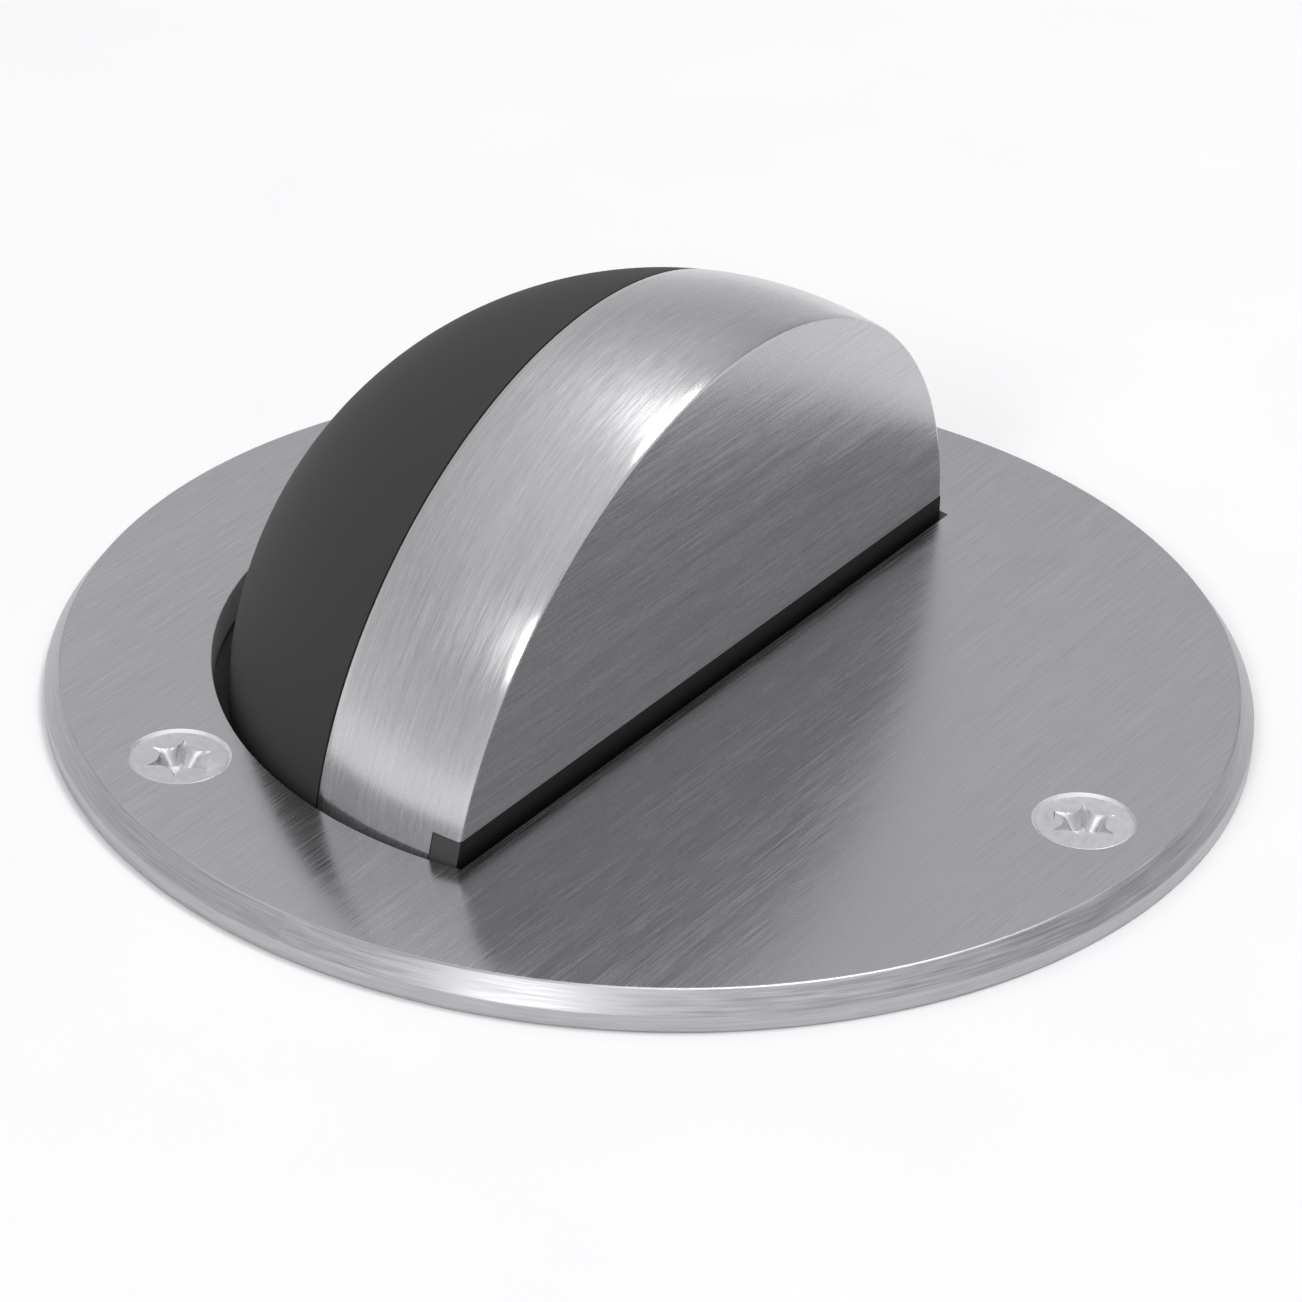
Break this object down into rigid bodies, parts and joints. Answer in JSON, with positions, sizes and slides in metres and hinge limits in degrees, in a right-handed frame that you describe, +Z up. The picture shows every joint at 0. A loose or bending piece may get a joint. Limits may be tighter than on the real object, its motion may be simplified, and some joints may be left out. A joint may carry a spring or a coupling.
{
  "type": "fold-down floor door stop",
  "caption": "Round steel floor plate with a quarter-ball stop, rubber backed, that folds flush into a sunk pot.",
  "frame": {"origin": "centre of the cover plate's underside, at floor level; everything below z = 0 is sunk in the floor", "axes": "+Z up out of the floor, +X along the opening's straight edge and the pivot, -Y the way the stop's flat face looks"},
  "size_m": [0.11, 0.11, 0.0839],
  "materials": {
    "brushed_plate": "linear brushed stainless steel, satin",
    "brushed_head": "brushed stainless steel, turned on the band and straight on the flat face",
    "pot_steel": "deep-drawn stainless steel, matt",
    "bolt_steel": "stainless steel fasteners, satin",
    "spring_steel": "rolled spring steel",
    "buffer_rubber": "moulded EPDM rubber, matt",
    "strip_rubber": "extruded rubber, satin",
    "core_nylon": "glass-filled nylon",
    "bush_polymer": "bearing polymer",
    "plug_nylon": "moulded nylon"
  },
  "bodies": {
    "floor_unit": {"cover_plate": "brushed_plate", "recess_pot": "pot_steel", "bearing_block_left": "pot_steel", "bearing_block_right": "pot_steel", "pivot_screw_left": "bolt_steel", "pivot_screw_right": "bolt_steel", "block_screw_1": "bolt_steel", "block_screw_2": "bolt_steel", "block_screw_3": "bolt_steel", "block_screw_4": "bolt_steel", "stop_bar": "bolt_steel", "stop_sleeve": "strip_rubber", "snap_spring": "spring_steel", "spring_clamp": "pot_steel", "spring_screw_1": "bolt_steel", "spring_screw_2": "bolt_steel", "floor_screw_front": "bolt_steel", "floor_screw_left": "bolt_steel", "floor_screw_right": "bolt_steel", "floor_plug_front": "plug_nylon", "floor_plug_left": "plug_nylon", "floor_plug_right": "plug_nylon"},
    "stop": {"stop_head": "brushed_head", "tread_strip": "strip_rubber", "pivot_bush_left": "bush_polymer", "pivot_bush_right": "bush_polymer", "buffer_core": "core_nylon", "buffer_rubber": "buffer_rubber", "core_screw_1": "bolt_steel", "core_screw_2": "bolt_steel", "core_screw_3": "bolt_steel"}
  },
  "joints": [
    {"name": "stop_fold", "type": "hinge", "parent": "floor_unit", "child": "stop", "pos_m": [0, -0.001, -0.0018], "axis": [-1, 0, 0], "range_deg": [0, 94.5], "deforming": ["snap_spring"]}
  ]
}
